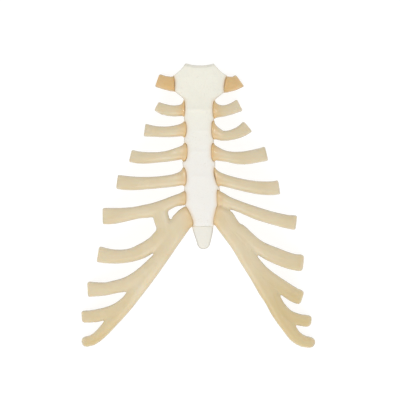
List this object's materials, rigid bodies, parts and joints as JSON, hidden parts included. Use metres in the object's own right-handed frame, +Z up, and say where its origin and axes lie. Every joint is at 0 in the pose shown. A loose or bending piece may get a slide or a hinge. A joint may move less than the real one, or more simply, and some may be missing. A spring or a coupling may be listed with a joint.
{
  "type": "anatomical teaching model of a sternum",
  "caption": "Still, life-size teaching model of a human breastbone on its back: a hard white sternum with soft tan costal cartilages, the lower ones joined in an arch on each side.",
  "frame": {"origin": "under the middle of the model's outline, at the level of the table that it rests on", "axes": "the model lies on its back: +Z up, out of the front of the chest; +Y towards the head; +X towards the skeleton's own left"},
  "size_m": [0.2366, 0.2878, 0.0471],
  "materials": {
    "bone": "hard cast plastic, matt, warm white",
    "cartilage": "soft flexible vinyl, satin, tan and slightly translucent"
  },
  "bodies": {
    "root": {"manubrium": "bone", "sternal_body": "bone", "xiphoid_process": "bone", "costal_cartilage_01_right": "cartilage", "costal_cartilage_01_left": "cartilage", "costal_cartilage_02_right": "cartilage", "costal_cartilage_02_left": "cartilage", "costal_cartilage_03_right": "cartilage", "costal_cartilage_03_left": "cartilage", "costal_cartilage_04_right": "cartilage", "costal_cartilage_04_left": "cartilage", "costal_cartilage_05_right": "cartilage", "costal_cartilage_05_left": "cartilage", "costal_cartilage_06_right": "cartilage", "costal_cartilage_06_left": "cartilage", "costal_cartilage_07_right": "cartilage", "costal_cartilage_07_left": "cartilage", "costal_cartilage_08_right": "cartilage", "costal_cartilage_08_left": "cartilage", "costal_cartilage_09_right": "cartilage", "costal_cartilage_09_left": "cartilage", "costal_cartilage_10_right": "cartilage", "costal_cartilage_10_left": "cartilage"}
  },
  "joints": []
}
